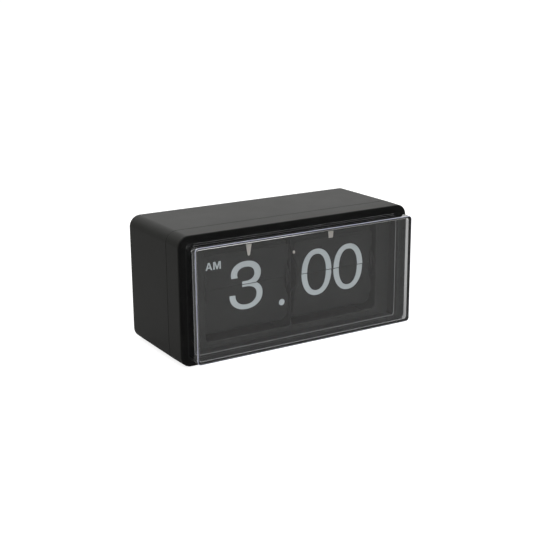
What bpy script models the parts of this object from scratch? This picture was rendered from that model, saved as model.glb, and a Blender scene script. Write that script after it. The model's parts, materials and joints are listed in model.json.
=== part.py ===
"""Battery flip number clock, modelled as the pieces it comes apart into on a bench.

Metres, +Z up. The origin is on the table under the middle of the clock; the dial looks towards -Y.
Every displayed leaf pair turns about the X axis, as do the drums and the whole gear train.
"""
import bpy
import bmesh
import math
from mathutils import Vector

MM = 0.001

# ---- driving dimensions, in millimetres --------------------------------------------------------
WIDTH, HEIGHT, DEPTH = 185.0, 90.0, 87.5
FRONT_Y = -DEPTH / 2              # outer face of the clear cover
BACK_Y = DEPTH / 2                # back rim of the case shell
COVER_PROUD = 13.5                # how far the clear cover stands in front of the rim
RIM_Y = FRONT_Y + COVER_PROUD     # front face of the front frame
SEAM_Y = RIM_Y + 16.6             # where the front frame meets the case shell
CASE_BOTTOM = 0.4                 # the rubber feet stand this far out of the case
CASE_RADIUS = 8.0
WALL = 2.5
GAP = 0.3                         # clearance left between pieces that touch

COVER_W, COVER_H, COVER_WALL, COVER_PLATE = 174.0, 79.0, 2.3, 2.0
OPENING_W, OPENING_H = 164.4, 74.0          # opening of the front frame
PANEL_Y, PANEL_THICK = RIM_Y + 7.6, 1.5     # dial panel behind the front frame's lip
WINDOW_X, WINDOW_W, WINDOW_H = 0.6, 140.6, 65.0
MID_Z = HEIGHT / 2

AXIS_Y, AXIS_Z = RIM_Y + 24.4, 47.4         # axis of both drums
FLANGE_R, FLANGE_T = 14.0, 1.4
GROOVE_IN, GROOVE_OUT, GROOVE_T = 10.8, 13.3, 0.7
HUB_R, SHAFT_R, RUN = 8.5, 1.5, 0.25        # RUN is the running clearance on a shaft

LEAF_L, LEAF_T, LEAF_W = 23.0, 0.5, 66.9
LEAF_STEP = 2.7                             # how far the leaf narrows between the drum flanges
NOTCH = 7.9                                 # the narrow stretch reaches this far from the pin
HOUR_X = -68.6                              # left edge of the hour leaves
MINUTE_X = 3.4                              # left edge of the minute leaves
UPPER_PIN = (RIM_Y + 12.0, 47.9)            # (y, z) of the standing leaf's pin
LOWER_PIN = (RIM_Y + 12.8, 46.6)            # (y, z) of the fallen leaf's pin

MODULE = 0.5                                # drive side gears
DRIVE_T, IDLER_T, THUMB_T, PINION_T = 48, 40, 20, 8
HOUR_T, TRANSFER_T = 48, 32
DRUM_PINION_MODULE = 0.7                    # minute drum pinion and transfer wheel
TRANSFER_Y = AXIS_Y + MODULE * (HOUR_T + PINION_T) / 2
IDLER_Y = AXIS_Y + MODULE * (DRIVE_T + IDLER_T) / 2
THUMB_Y = IDLER_Y + MODULE * (IDLER_T + THUMB_T) / 2
MOTOR_ANGLE = math.radians(-45)             # the motor pinion sits low behind the drum axis
MOTOR_DIST = MODULE * (DRIVE_T + PINION_T) / 2
MOTOR_Y = AXIS_Y + MOTOR_DIST * math.cos(MOTOR_ANGLE)
MOTOR_Z = AXIS_Z + MOTOR_DIST * math.sin(MOTOR_ANGLE)

PLATE_Z0, PLATE_Z1, PLATE_T = 5.4, 82.0, 1.2
LEFT_X, CENTRE_X, RIGHT_X = -72.6, 0.1, 73.6          # left faces of the three plates
RODS, ROD_R = [(32.0, 74.0), (32.0, 33.0)], 1.5       # (y, z) of the two tie rods
BAR_BOTTOM = 78.2                                     # the bar the two fingers hang from

REAR_Y0, REAR_Y1 = BACK_Y - 4.45, BACK_Y - 2.25       # rear cover, sunk behind the shell's rim
DOOR_LOW, DOOR_HIGH = (-66.0, 6.5), (-4.0, 27.5)      # (x, z) corners of the battery hatch
THUMB_X0, THUMB_X1, THUMB_R = 75.4, 79.8, 12.0        # setting wheel
THUMB_SLOT = 1.2                                      # room beside the wheel in its slot

MATERIALS = {
    "case_black": ((0.020, 0.020, 0.021), 0.55, 0.0),
    "dial_black": ((0.018, 0.018, 0.018), 0.60, 0.0),
    "leaf_black": ((0.022, 0.022, 0.022), 0.55, 0.0),
    "clear_plastic": ((0.90, 0.92, 0.93), 0.05, 0.0),
    "cream_plastic": ((0.62, 0.58, 0.50), 0.45, 0.0),
    "frame_plastic": ((0.03, 0.03, 0.032), 0.50, 0.0),
    "gear_plastic": ((0.75, 0.75, 0.73), 0.40, 0.0),
    "steel": ((0.60, 0.60, 0.62), 0.30, 1.0),
    "rubber": ((0.03, 0.03, 0.03), 0.90, 0.0),
    "battery_wrap": ((0.10, 0.25, 0.45), 0.35, 0.0),
    "circuit_board": ((0.03, 0.20, 0.08), 0.40, 0.0),
}


# ---- helpers -----------------------------------------------------------------------------------
def clear_scene():
    for obj in list(bpy.data.objects):
        bpy.data.objects.remove(obj, do_unlink=True)


def material(name):
    found = bpy.data.materials.get(name)
    if found:
        return found
    colour, rough, metal = MATERIALS[name]
    mat = bpy.data.materials.new(name)
    mat.use_nodes = True
    shader = mat.node_tree.nodes["Principled BSDF"]
    shader.inputs["Base Color"].default_value = (*colour, 1.0)
    shader.inputs["Roughness"].default_value = rough
    shader.inputs["Metallic"].default_value = metal
    mat.diffuse_color = (*colour, 1.0)
    return mat


def finish(name, bm, mat, pivot=(0, 0, 0), smooth=35):
    """Turn a bmesh in millimetres into an object whose origin is at the pivot."""
    bmesh.ops.recalc_face_normals(bm, faces=bm.faces)
    origin = Vector(pivot)
    for vert in bm.verts:
        vert.co = (vert.co - origin) * MM
    mesh = bpy.data.meshes.new(name)
    bm.to_mesh(mesh)
    bm.free()
    mesh.shade_smooth()
    mesh.set_sharp_from_angle(angle=math.radians(smooth))
    mesh.materials.append(material(mat))
    obj = bpy.data.objects.new(name, mesh)
    obj.location = origin * MM
    bpy.context.collection.objects.link(obj)
    return obj


def loft(loops, closed=False):
    """Skin a list of equal-length loops; close it into a ring, or cap both ends."""
    bm = bmesh.new()
    rows = [[bm.verts.new(p) for p in loop] for loop in loops]
    count = len(rows[0])
    pairs = list(zip(rows, rows[1:])) + ([(rows[-1], rows[0])] if closed else [])
    for low, high in pairs:
        for i in range(count):
            j = (i + 1) % count
            bm.faces.new((low[i], low[j], high[j], high[i]))
    if not closed:
        bm.faces.new(rows[0])
        bm.faces.new(rows[-1][::-1])
    return bm


def rounded(width, height, radius, steps=6):
    """Outline of a rounded rectangle about the origin."""
    points = []
    for corner in range(4):
        cu = (width / 2 - radius) * (1 if corner in (0, 3) else -1)
        cv = (height / 2 - radius) * (1 if corner < 2 else -1)
        for k in range(steps + 1):
            a = math.radians(90 * corner + 90 * k / steps)
            points.append((cu + radius * math.cos(a), cv + radius * math.sin(a)))
    return points


def circle(radius, steps=32, centre=(0, 0)):
    return [(centre[0] + radius * math.cos(2 * math.pi * k / steps),
             centre[1] + radius * math.sin(2 * math.pi * k / steps)) for k in range(steps)]


def on_y(outline, y, x=0.0, z=MID_Z):
    return [(x + u, y, z + v) for u, v in outline]


def on_x(outline, x, y=0.0, z=0.0):
    return [(x, y + u, z + v) for u, v in outline]


def on_z(outline, z, x=0.0, y=0.0):
    return [(x + u, y + v, z) for u, v in outline]


def plate_x(name, outline, x0, x1, mat, y=0.0, z=0.0, pivot=(0, 0, 0)):
    return finish(name, loft([on_x(outline, x0, y, z), on_x(outline, x1, y, z)]), mat, pivot)


def plate_y(name, outline, y0, y1, mat, x=0.0, z=MID_Z, pivot=(0, 0, 0)):
    return finish(name, loft([on_y(outline, y0, x, z), on_y(outline, y1, x, z)]), mat, pivot)


def turned(name, profile, y, z, mat, steps=32, ring=False):
    """Revolve (x, radius) points about a line along X; a ring profile closes on itself."""
    loops = [on_x(circle(r, steps), x, y, z) for x, r in profile]
    return finish(name, loft(loops, closed=ring), mat, (profile[0][0], y, z))


def box(name, low, high, mat):
    size = [b - a for a, b in zip(low, high)]
    outline = rounded(size[0], size[1], min(0.8, min(size[:2]) / 4), 3)
    mid = [(a + b) / 2 for a, b in zip(low, high)]
    return finish(name, loft([on_z(outline, low[2], mid[0], mid[1]),
                              on_z(outline, high[2], mid[0], mid[1])]), mat)


def cut(target, cutter, operation="DIFFERENCE"):
    """Boolean the target with a hidden guide object."""
    cutter.hide_render = True
    cutter.display_type = "WIRE"
    mod = target.modifiers.new("cut_" + cutter.name, "BOOLEAN")
    mod.object = cutter
    mod.operation = operation
    mod.solver = "EXACT"
    return target


def hole_x(target, x0, x1, radius, y, z, steps=24):
    cutter = plate_x(target.name + "_hole%d" % len(target.modifiers), circle(radius, steps),
                     x0, x1, "steel", y, z)
    return cut(target, cutter)


def slot_box(target, low, high):
    cutter = box(target.name + "_slot%d" % len(target.modifiers), low, high, "steel")
    return cut(target, cutter)


# ---- case --------------------------------------------------------------------------------------
def case_loop(y, inset, radius):
    height = HEIGHT - CASE_BOTTOM
    outline = rounded(WIDTH - 2 * inset, height - 2 * inset, radius, 8)
    return on_y(outline, y, 0, CASE_BOTTOM + height / 2)


def case_shell():
    edge = 0.8
    loops = [case_loop(SEAM_Y + GAP, 0.0, CASE_RADIUS)]
    for k in range(5):
        a = math.radians(90 * k / 4)
        inset = edge * (1 - math.cos(a))
        loops.append(case_loop(BACK_Y - edge + edge * math.sin(a), inset, CASE_RADIUS - inset / 2))
    loops += [case_loop(y, WALL, CASE_RADIUS - WALL) for y in (BACK_Y, SEAM_Y + GAP)]
    shell = finish("case_shell", loft(loops, closed=True), "case_black")
    for x, y in foot_places():
        cutter = finish("pocket_%d_%d" % (x, y),
                        loft([on_z(circle(5.3, 24), -1, x, y), on_z(circle(5.3, 24), 1.6, x, y)]),
                        "steel")
        cut(shell, cutter)
    return shell


def foot_places():
    return [(x, y) for x in (-76, 76) for y in (-6, 32)]


def feet():
    names = ("foot_front_left", "foot_rear_left", "foot_front_right", "foot_rear_right")
    for name, (x, y) in zip(names, foot_places()):
        finish(name, loft([on_z(circle(r, 24), z, x, y)
                           for r, z in ((4.6, 0.0), (5.0, 0.4), (5.0, 1.3))]), "rubber")


def front_frame():
    """Ring with a lip round the dial: the rim, the recess and the seat of the dial panel."""
    lip = PANEL_Y - GAP
    seat_w, seat_h = WIDTH - 2 * WALL, HEIGHT - CASE_BOTTOM - 2 * WALL
    mid = CASE_BOTTOM + (HEIGHT - CASE_BOTTOM) / 2
    opening = rounded(OPENING_W, OPENING_H, 1.8, 8)
    loops = [case_loop(SEAM_Y, 0.0, CASE_RADIUS), case_loop(RIM_Y + 1.0, 0.25, CASE_RADIUS),
             case_loop(RIM_Y + 0.3, 0.5, CASE_RADIUS), case_loop(RIM_Y, 1.2, CASE_RADIUS - 0.6),
             on_y(opening, RIM_Y), on_y(opening, lip),
             on_y(rounded(seat_w, seat_h, CASE_RADIUS - WALL, 8), lip, 0, mid),
             on_y(rounded(seat_w, seat_h, CASE_RADIUS - WALL, 8), SEAM_Y, 0, mid)]
    return finish("front_frame", loft(loops, closed=True), "case_black")


def clear_cover():
    """Open-backed box of clear plastic, with a slight draft and crisp front edges."""
    draft, edge = 0.8, 0.35
    inner_w, inner_h = COVER_W - 2 * COVER_WALL, COVER_H - 2 * COVER_WALL
    outer = [(COVER_W, COVER_H, 2.8, RIM_Y - GAP),
             (COVER_W - draft, COVER_H - draft, 2.6, FRONT_Y + edge),
             (COVER_W - draft - edge, COVER_H - draft - edge, 2.4, FRONT_Y + edge * 0.2),
             (COVER_W - draft - 2 * edge, COVER_H - draft - 2 * edge, 2.2, FRONT_Y)]
    inner = [(inner_w - draft, inner_h - draft, 1.2, FRONT_Y + COVER_PLATE),
             (inner_w, inner_h, 1.4, RIM_Y - GAP)]
    loops = [on_y(rounded(w, h, r, 6), y) for w, h, r, y in inner + outer]
    return finish("clear_cover", loft(loops), "clear_plastic")


def dial_panel():
    outer = rounded(WIDTH - 2 * WALL - 1.0, HEIGHT - CASE_BOTTOM - 2 * WALL - 1.0, 4.0, 6)
    window = rounded(WINDOW_W, WINDOW_H, 2.8, 6)
    back = PANEL_Y + PANEL_THICK
    mid = CASE_BOTTOM + (HEIGHT - CASE_BOTTOM) / 2
    loops = [on_y(outer, PANEL_Y, 0, mid), on_y(outer, back, 0, mid),
             on_y(window, back, WINDOW_X), on_y(window, PANEL_Y, WINDOW_X)]
    return finish("dial_panel", loft(loops, closed=True), "dial_black")


# ---- rear --------------------------------------------------------------------------------------
def rear_cover():
    outline = rounded(WIDTH - 2 * WALL - 2 * GAP, HEIGHT - CASE_BOTTOM - 2 * WALL - 2 * GAP, 5.2, 8)
    mid = CASE_BOTTOM + (HEIGHT - CASE_BOTTOM) / 2
    cover = plate_y("rear_cover", outline, REAR_Y0, REAR_Y1, "case_black", z=mid)
    low, high = REAR_Y0 - 1, REAR_Y1 + 1
    slot_box(cover, (DOOR_LOW[0], low, DOOR_LOW[1]), (DOOR_HIGH[0], high, DOOR_HIGH[1]))
    slot_box(cover, (THUMB_X0 - THUMB_SLOT, low, AXIS_Z - 10), (THUMB_X1 + THUMB_SLOT, high, AXIS_Z + 10))
    return cover


def battery_door():
    w, h = DOOR_HIGH[0] - DOOR_LOW[0] - 2 * GAP, DOOR_HIGH[1] - DOOR_LOW[1] - 2 * GAP
    mid = [(a + b) / 2 for a, b in zip(DOOR_LOW, DOOR_HIGH)]
    outline = rounded(w, h, 1.0, 3)
    return plate_y("battery_door", outline, REAR_Y0, REAR_Y1, "case_black", mid[0], mid[1],
                   (mid[0], REAR_Y0, mid[1]))


def battery_bay():
    """Open-backed tray behind the hatch, one AA cell and its two contacts."""
    x0, x1, y0, y1, z0, z1 = -64.8, -5.2, 20.5, REAR_Y0 - GAP, 6.8, 26.8
    wall = 1.2
    outer = rounded(x1 - x0, z1 - z0, 1.5, 3)
    inner = rounded(x1 - x0 - 2 * wall, z1 - z0 - 2 * wall, 0.6, 3)
    cx, cz = (x0 + x1) / 2, (z0 + z1) / 2
    loops = [on_y(inner, y0 + wall, cx, cz), on_y(inner, y1, cx, cz),
             on_y(outer, y1, cx, cz), on_y(outer, y0, cx, cz)]
    finish("battery_bay", loft(loops), "frame_plastic")
    cy = (y0 + wall + y1) / 2
    cell_l, cell_r = 50.0, 7.1
    turned("battery", [(cx - cell_l / 2, cell_r - 0.6), (cx - cell_l / 2 + 0.6, cell_r),
                       (cx + cell_l / 2 - 2.2, cell_r), (cx + cell_l / 2 - 1.6, cell_r - 0.6),
                       (cx + cell_l / 2 - 1.6, 2.7), (cx + cell_l / 2, 2.7)], cy, cz, "battery_wrap")
    plate_x("contact_plus", rounded(9, 9, 1, 3), cx + cell_l / 2 + GAP, cx + cell_l / 2 + 0.8,
            "steel", cy, cz)
    contact_spring(x0 + wall + 0.5, cx - cell_l / 2 - GAP, cy, cz)


def contact_spring(x0, x1, cy, cz):
    """Conical compression spring pressing on the flat end of the cell."""
    turns, steps, wire = 2.5, 14, 0.35
    path = bpy.data.curves.new("contact_spring", "CURVE")
    path.dimensions = "3D"
    path.bevel_depth = wire * MM
    path.bevel_resolution = 1
    path.use_fill_caps = True
    count = int(turns * steps) + 1
    spline = path.splines.new("POLY")
    spline.points.add(count - 1)
    for k in range(count):
        t = k / (count - 1)
        a = 2 * math.pi * turns * t
        r = 5.2 - 2.4 * t
        x = x0 + wire + (x1 - x0 - 2 * wire) * t
        spline.points[k].co = (x * MM, (cy + r * math.cos(a)) * MM, (cz + r * math.sin(a)) * MM, 1)
    path.materials.append(material("steel"))
    bpy.context.collection.objects.link(bpy.data.objects.new("contact_spring", path))


def rear_screws():
    for index, (x, z) in enumerate([(-84, 8), (84, 8), (-84, 82), (84, 82)]):
        finish("rear_screw_%d" % (index + 1),
               loft([on_y(circle(r, 20), y, x, z) for r, y in
                     ((2.7, REAR_Y1 + GAP), (2.7, REAR_Y1 + 1.2), (2.1, REAR_Y1 + 1.7))]), "steel")


# ---- movement frame ----------------------------------------------------------------------------
def frame_plates():
    y0, y1 = RIM_Y + 9.6, 35.6
    outline = rounded(y1 - y0, PLATE_Z1 - PLATE_Z0, 3.0, 4)
    cy, cz = (y0 + y1) / 2, (PLATE_Z1 + PLATE_Z0) / 2
    left = plate_x("left_plate", outline, LEFT_X, LEFT_X + PLATE_T, "frame_plastic", cy, cz)
    right = plate_x("right_plate", outline, RIGHT_X, RIGHT_X + PLATE_T, "frame_plastic", cy, cz)
    c0, c1, ctop = RIM_Y + 13.0, 35.6, 77.6
    centre = plate_x("centre_plate", rounded(c1 - c0, ctop - PLATE_Z0, 3.0, 4), CENTRE_X,
                     CENTRE_X + 1.0, "frame_plastic", (c0 + c1) / 2, (ctop + PLATE_Z0) / 2)
    for plate, x in ((left, LEFT_X), (centre, CENTRE_X), (right, RIGHT_X)):
        holes = [(AXIS_Y, AXIS_Z, SHAFT_R)] + [(y, z, ROD_R) for y, z in RODS]
        if plate is centre:
            holes.append((TRANSFER_Y, AXIS_Z, 1.35))
        if plate is right:
            holes += [(IDLER_Y, AXIS_Z, 1.2), (THUMB_Y, AXIS_Z, 1.2),
                      (MOTOR_Y, MOTOR_Z, 1.2)]
        for y, z, r in holes:
            hole_x(plate, x - 1, x + 3, r + GAP, y, z)
    for name, (y, z) in zip(("upper_tie_rod", "lower_tie_rod"), RODS):
        turned(name, [(LEFT_X - 1.5, ROD_R), (RIGHT_X + PLATE_T + 1.5, ROD_R)], y, z, "steel", 16)
    turned("main_shaft", [(LEFT_X - 1.5, SHAFT_R), (RIGHT_X + PLATE_T + 0.2, SHAFT_R)],
           AXIS_Y, AXIS_Z, "steel", 24)
    box("movement_tray", (-80, -19.5, 3.3), (84, 36, 5.1), "frame_plastic")
    box("finger_bar", (LEFT_X + PLATE_T + GAP, RIM_Y + 9.8, BAR_BOTTOM),
        (RIGHT_X - GAP, RIM_Y + 11.2, 81.4), "frame_plastic")


def finger(name, x, tip_z, top_w, tip_w):
    """Thin spring blade that hangs over the top edge of the standing leaf."""
    y1 = RIM_Y + 9.8 - GAP + 1.4
    bar_bottom = BAR_BOTTOM - GAP
    arc = [(tip_w / 2 * math.cos(a), tip_w / 2 * math.sin(a))
           for a in (math.radians(-10 - 16 * k) for k in range(11))]
    outline = [(x - top_w / 2, bar_bottom), (x + top_w / 2, bar_bottom)]
    outline += [(x + u, tip_z + tip_w / 2 + v) for u, v in arc]
    return finish(name, loft([[(u, y1 - 0.35, v) for u, v in outline],
                              [(u, y1, v) for u, v in outline]]), "cream_plastic")


def centre_stud():
    """Stop peg between the two leaf stacks: a domed cap on a thin stem."""
    x, z, front = CENTRE_X + 1.0, 64.8, RIM_Y + 9.0
    profile = ((0.6, front), (1.1, front + 0.4), (1.1, front + 1.4), (0.5, front + 1.5),
               (0.5, RIM_Y + 12.7))
    finish("centre_stud", loft([on_y(circle(r, 16), y, x, z) for r, y in profile]),
           "cream_plastic")


# ---- drums and leaves --------------------------------------------------------------------------
def drum(name, x0, x1, mat):
    """Spool between two flanges; a groove in each flange carries the leaf pins."""
    ends = [(x0, SHAFT_R + RUN), (x0, FLANGE_R), (x0 + FLANGE_T, FLANGE_R)]
    groove = [(x0 + FLANGE_T, GROOVE_OUT), (x0 + FLANGE_T - GROOVE_T, GROOVE_OUT),
              (x0 + FLANGE_T - GROOVE_T, GROOVE_IN), (x0 + FLANGE_T, GROOVE_IN),
              (x0 + FLANGE_T, HUB_R)]
    half = ends + groove
    other = [(x0 + x1 - x, r) for x, r in half[::-1]]
    return turned(name, half + other, AXIS_Y, AXIS_Z, mat, 48, ring=True)


def leaf_outline(side):
    """Half widths and distances from the pin, from the hinge edge to the free end."""
    w = LEAF_W / 2
    return [(w - LEAF_STEP, -0.45), (w - LEAF_STEP, NOTCH), (w - 1.5, NOTCH + 0.1),
            (w - 1.5, 9.6), (w, 13.0), (w, LEAF_L - 1.5), (w - 0.45, LEAF_L - 0.45),
            (w - 1.5, LEAF_L)] if side == "right" else \
        [(-u, v) for u, v in leaf_outline("right")][::-1]


def leaf(name, left_x, pin, up):
    cx = left_x + LEAF_W / 2
    sign = 1 if up else -1
    outline = leaf_outline("right") + leaf_outline("left")
    y, z = pin
    loops = [[(cx + u, y + side * LEAF_T / 2, z + sign * v) for u, v in outline]
             for side in (-1, 1)]
    blade = finish(name, loft(loops), "leaf_black", (cx, y, z))
    pins = plate_x(name + "_pins", circle(0.4, 10), left_x + LEAF_STEP - 0.75,
                   left_x + LEAF_W - LEAF_STEP + 0.75, "leaf_black", y, z)
    return cut(blade, pins, "UNION")


def leaf_direction(turn):
    """Elevation of a carried leaf, for a pin that has gone this far over the drum from the front."""
    knots = [(0, 90), (90, 50), (180, -45), (270, -86), (360, -90)]
    for (a, up_a), (b, up_b) in zip(knots, knots[1:]):
        if turn <= b:
            return up_a + (up_b - up_a) * (turn - a) / (b - a)
    return -90


def leaf_pack(name, left_x, count):
    """The leaves waiting over the top and hanging behind, on one ring of pins."""
    ring_out, ring_in, thick = 12.5, 11.5, 0.34
    first, last = 14.0, 330.0
    outline = []
    turns = [first + (last - first) * k / (count - 1) for k in range(count)]
    for turn in turns:
        a = math.radians(180 - turn)
        d = math.radians(leaf_direction(turn))
        root = Vector((math.cos(a) * (ring_out - 0.2), math.sin(a) * (ring_out - 0.2)))
        along = Vector((math.cos(d), math.sin(d)))
        across = Vector((-along.y, along.x)) * thick / 2
        outline += [tuple(root + across), tuple(root + along * LEAF_L + across),
                    tuple(root + along * LEAF_L - across), tuple(root - across)]
    for k in range(41):
        a = math.radians(180 - (last + 1.5 - (last - first + 3) * k / 40))
        outline.append((math.cos(a) * ring_in, math.sin(a) * ring_in))
    return plate_x(name, outline, left_x + LEAF_STEP + 0.2, left_x + LEAF_W - LEAF_STEP - 0.2,
                   "leaf_black", AXIS_Y, AXIS_Z)


# ---- gears -------------------------------------------------------------------------------------
def gear_outline(teeth, module, phase=0.0):
    """Short stub teeth with generous backlash; phase is in tooth pitches."""
    tip, root = module * (teeth / 2 + 0.62), module * (teeth / 2 - 0.85)
    pitch = 2 * math.pi / teeth
    points = []
    for k in range(teeth):
        mid = (k + phase) * pitch
        for radius, part in ((root, -0.30), (tip, -0.10), (tip, 0.10), (root, 0.30)):
            a = mid + part * pitch
            points.append((radius * math.cos(a), radius * math.sin(a)))
    return points


def gear(name, teeth, module, x0, x1, y, z, bore, mat, phase=0.0):
    wheel = plate_x(name, gear_outline(teeth, module, phase), x0, x1, mat, y, z, (x0, y, z))
    return hole_x(wheel, x0 - 1, x1 + 1, bore, y, z)


def gear_train():
    bore = SHAFT_R + RUN
    gear("drive_gear", DRIVE_T, MODULE, 71.0, 72.4, AXIS_Y, AXIS_Z, bore, "frame_plastic")
    gear("drum_pinion", PINION_T, DRUM_PINION_MODULE, 1.7, 2.9, AXIS_Y, AXIS_Z, bore,
         "frame_plastic")
    gear("hour_gear", HOUR_T, MODULE, -1.5, -0.5, AXIS_Y, AXIS_Z, bore, "frame_plastic")
    gear("transfer_wheel", TRANSFER_T, DRUM_PINION_MODULE, 1.7, 2.9, TRANSFER_Y, AXIS_Z, 1.2,
         "gear_plastic", 0.5)
    gear("transfer_pinion", PINION_T, MODULE, -1.6, -0.4, TRANSFER_Y, AXIS_Z, 1.2,
         "gear_plastic", 0.5)
    turned("transfer_axle", [(-2.6, 0.9), (4.0, 0.9)], TRANSFER_Y, AXIS_Z, "steel", 16)
    gear("setting_idler", IDLER_T, MODULE, 71.0, 72.4, IDLER_Y, AXIS_Z, 1.2, "gear_plastic", 0.5)
    turned("idler_axle", [(70.6, 0.9), (75.0, 0.9)], IDLER_Y, AXIS_Z, "steel", 16)
    gear("thumbwheel_gear", THUMB_T, MODULE, 71.0, 72.4, THUMB_Y, AXIS_Z, 1.2, "gear_plastic", 0.0)
    turned("thumbwheel_axle", [(70.6, 0.9), (81.0, 0.9)], THUMB_Y, AXIS_Z, "steel", 16)
    wheel = plate_x("thumbwheel", knurled(THUMB_R, 36), THUMB_X0, THUMB_X1, "case_black",
                    THUMB_Y, AXIS_Z, (THUMB_X0, THUMB_Y, AXIS_Z))
    hole_x(wheel, THUMB_X0 - 1, THUMB_X1 + 1, 1.2, THUMB_Y, AXIS_Z)
    gear("motor_pinion", PINION_T, MODULE, 71.0, 73.1, MOTOR_Y, MOTOR_Z, 1.0, "gear_plastic",
         mesh_phase(DRIVE_T, PINION_T, MOTOR_ANGLE))
    turned("motor_shaft", [(71.2, 0.7), (75.0, 0.7)], MOTOR_Y, MOTOR_Z, "steel", 12)


def mesh_phase(teeth_a, teeth_b, angle):
    """Phase of gear b so that its gap meets a tooth of gear a along the line of centres."""
    at_a = (angle / (2 * math.pi) * teeth_a) % 1.0
    facing = ((angle + math.pi) / (2 * math.pi) * teeth_b) % 1.0
    return facing + 0.5 + at_a


def knurled(radius, ribs):
    return [((radius - 0.5 * (k % 2)) * math.cos(math.pi * k / ribs),
             (radius - 0.5 * (k % 2)) * math.sin(math.pi * k / ribs)) for k in range(2 * ribs)]


def drive_unit():
    outline = rounded(26, 26, 4, 4)
    plate_x("motor", outline, 75.3, 87.0, "frame_plastic", MOTOR_Y, MOTOR_Z)
    box("control_board", (82.0, 19.0, 8.0), (83.2, 38.0, 32.0), "circuit_board")


def main():
    clear_scene()
    case_shell()
    front_frame()
    clear_cover()
    dial_panel()
    rear_cover()
    battery_door()
    battery_bay()
    rear_screws()
    feet()
    frame_plates()
    finger("hour_finger", -34.0, 67.2, 5.4, 1.9)
    finger("minute_finger", 33.2, 70.5, 4.8, 3.8)
    centre_stud()
    drum("hour_drum", HOUR_X + LEAF_STEP - GAP - FLANGE_T,
         HOUR_X + LEAF_W - LEAF_STEP + GAP + FLANGE_T, "frame_plastic")
    drum("minute_drum", MINUTE_X + LEAF_STEP - GAP - FLANGE_T,
         MINUTE_X + LEAF_W - LEAF_STEP + GAP + FLANGE_T, "frame_plastic")
    for name, left_x, count in (("hour", HOUR_X, 22), ("minute", MINUTE_X, 58)):
        leaf(name + "_upper_leaf", left_x, UPPER_PIN, True)
        leaf(name + "_lower_leaf", left_x, LOWER_PIN, False)
        leaf_pack(name + "_leaf_pack", left_x, count)
    gear_train()
    drive_unit()


main()
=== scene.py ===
"""Looks of the flip number clock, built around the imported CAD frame."""
import json
import math
import bmesh
import bpy
from mathutils import Matrix, Vector


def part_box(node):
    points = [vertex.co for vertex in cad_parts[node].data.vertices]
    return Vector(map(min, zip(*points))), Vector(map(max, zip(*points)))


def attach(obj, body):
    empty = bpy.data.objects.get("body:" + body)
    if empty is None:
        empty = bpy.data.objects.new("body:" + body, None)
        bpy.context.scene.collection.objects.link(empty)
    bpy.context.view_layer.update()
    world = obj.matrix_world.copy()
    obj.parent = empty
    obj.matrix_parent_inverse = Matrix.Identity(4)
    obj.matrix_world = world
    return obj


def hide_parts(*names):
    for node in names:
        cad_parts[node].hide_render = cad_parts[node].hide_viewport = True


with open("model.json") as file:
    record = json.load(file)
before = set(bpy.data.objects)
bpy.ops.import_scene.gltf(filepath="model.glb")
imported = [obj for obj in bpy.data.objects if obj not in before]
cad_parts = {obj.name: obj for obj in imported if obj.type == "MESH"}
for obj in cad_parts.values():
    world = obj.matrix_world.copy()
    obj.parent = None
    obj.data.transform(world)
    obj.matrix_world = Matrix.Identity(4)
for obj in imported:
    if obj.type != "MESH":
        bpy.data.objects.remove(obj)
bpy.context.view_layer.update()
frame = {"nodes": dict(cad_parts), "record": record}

MM = 0.001  # shapes are drawn in millimetres, the scene is in metres
HALF_PI = math.pi / 2


# ---- places read from the frame, in millimetres ------------------------------------------------
def corners(node):
    """Lowest and highest corner of a CAD node at rest."""
    low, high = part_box(node)
    return Vector(low) / MM, Vector(high) / MM


def joint_place(name):
    """A point on a joint's axis."""
    found = [j for j in frame["record"]["behaviour"]["joints"] if j["name"] == name][0]
    return Vector(found["pos_m"]) / MM


SHELL_LOW, SHELL_HIGH = corners("case_shell")
FRAME_LOW, FRAME_HIGH = corners("front_frame")
COVER_LOW, COVER_HIGH = corners("clear_cover")
PANEL_LOW, PANEL_HIGH = corners("dial_panel")
REAR_LOW, REAR_HIGH = corners("rear_cover")
RIM_Y, SEAM_Y, BACK_Y = FRAME_LOW.y, FRAME_HIGH.y, SHELL_HIGH.y
CASE_W = SHELL_HIGH.x - SHELL_LOW.x
CASE_H = SHELL_HIGH.z - SHELL_LOW.z
CASE_MID = (SHELL_HIGH.z + SHELL_LOW.z) / 2
COVER_MID = (COVER_HIGH.z + COVER_LOW.z) / 2
AXIS = joint_place("minute_drum_turn")
PIN = joint_place("minute_leaf_fall")
CASE_RADIUS, WALL = 8.0, 2.5
REBATE = 1.5  # tongue of the front frame behind the case seam
OPENING_W, OPENING_H, OPENING_R = 164.4, 74.0, 1.8
OPENING_MID = CASE_MID - 0.2
BEAD = 0.42  # raised line round the opening
WINDOW_X, WINDOW_Z, WINDOW_W, WINDOW_H = 0.6, 45, 140.6, 65.0

# A leaf is a T: full width below its notches, narrower by LEAF_STEP each side at the pin.
LEAF_W, LEAF_L, LEAF_T, LEAF_STEP, NOTCH = 66.9, 23.0, 0.5, 2.7, 7.9
WAITING_T = 0.34
PIN_R = 0.4
PIN_RING = 12.3  # distance of the waiting pins from the drum's axis
LOWER_PIN = Vector((0, PIN.y + 0.8, 46.6))
LEFT_X = {"hour": -68.6, "minute": 3.4}
LEAF_COUNT = {"hour": 22, "minute": 58}

# The printed figures and the heights between which a leaf's joint cuts them.
INK = 0.04
SPLIT_UP, SPLIT_DOWN = PIN.z - 0.45, LOWER_PIN.z + 0.12
HOUR_X, TENS_X, UNITS_X = -35.85, 21.95, 49.15
FIGURE_LOW, FIGURE_HIGH = 10, 80

FEET = ("front_left", "front_right", "rear_left", "rear_right")
FLOOR_LIFT = 0.86  # glow of the floor as the camera sees it


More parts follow.
